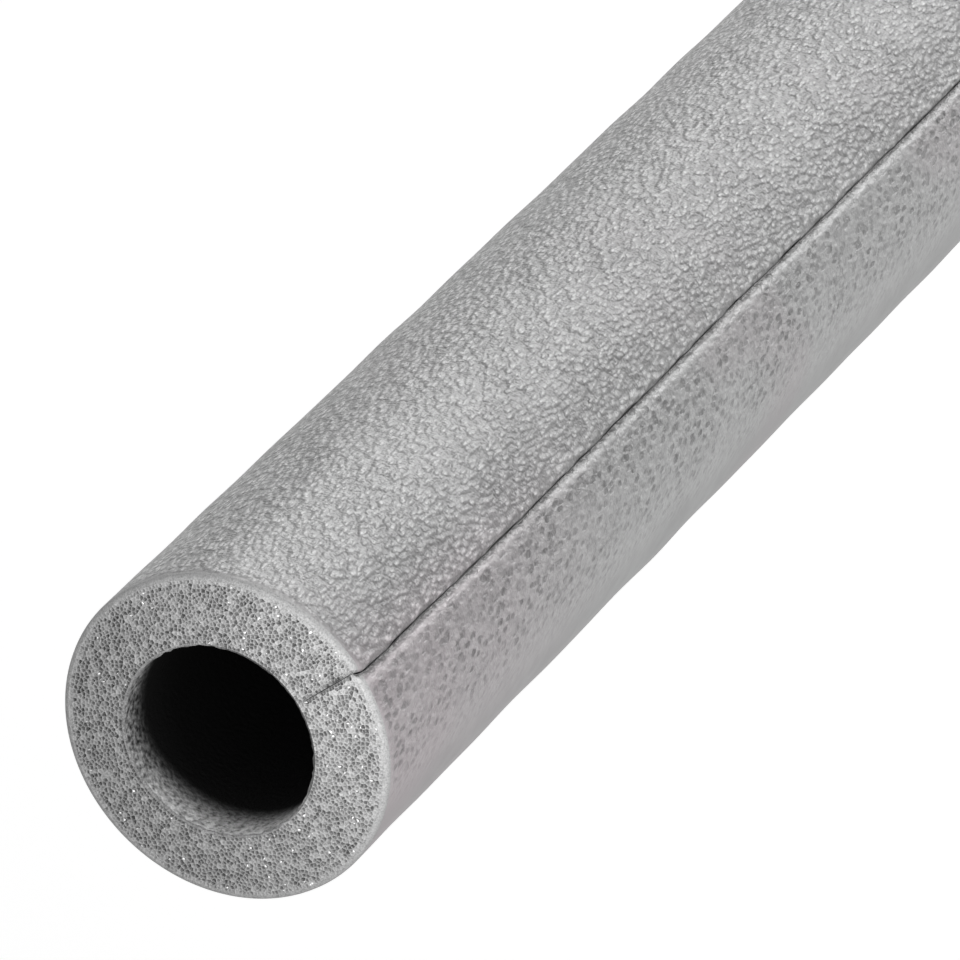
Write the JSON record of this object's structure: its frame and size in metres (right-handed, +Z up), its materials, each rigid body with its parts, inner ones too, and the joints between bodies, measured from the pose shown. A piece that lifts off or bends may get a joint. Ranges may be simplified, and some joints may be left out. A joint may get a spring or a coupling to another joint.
{
  "type": "pipe insulation lagging",
  "caption": "Straight tube of grey closed-cell foam that is closed round a pipe to keep its heat in, slit along its length almost through to the bore.",
  "frame": {"origin": "on the floor, under the middle of the tube as it stands on its end", "axes": "+Z up along the tube, and the slit faces -Y, the front"},
  "size_m": [0.043, 0.043, 1],
  "materials": {
    "foam": "closed-cell foam, dull extruded skin, open cells on the cut ends"
  },
  "bodies": {
    "root": {"foam_tube": "foam"}
  },
  "joints": []
}
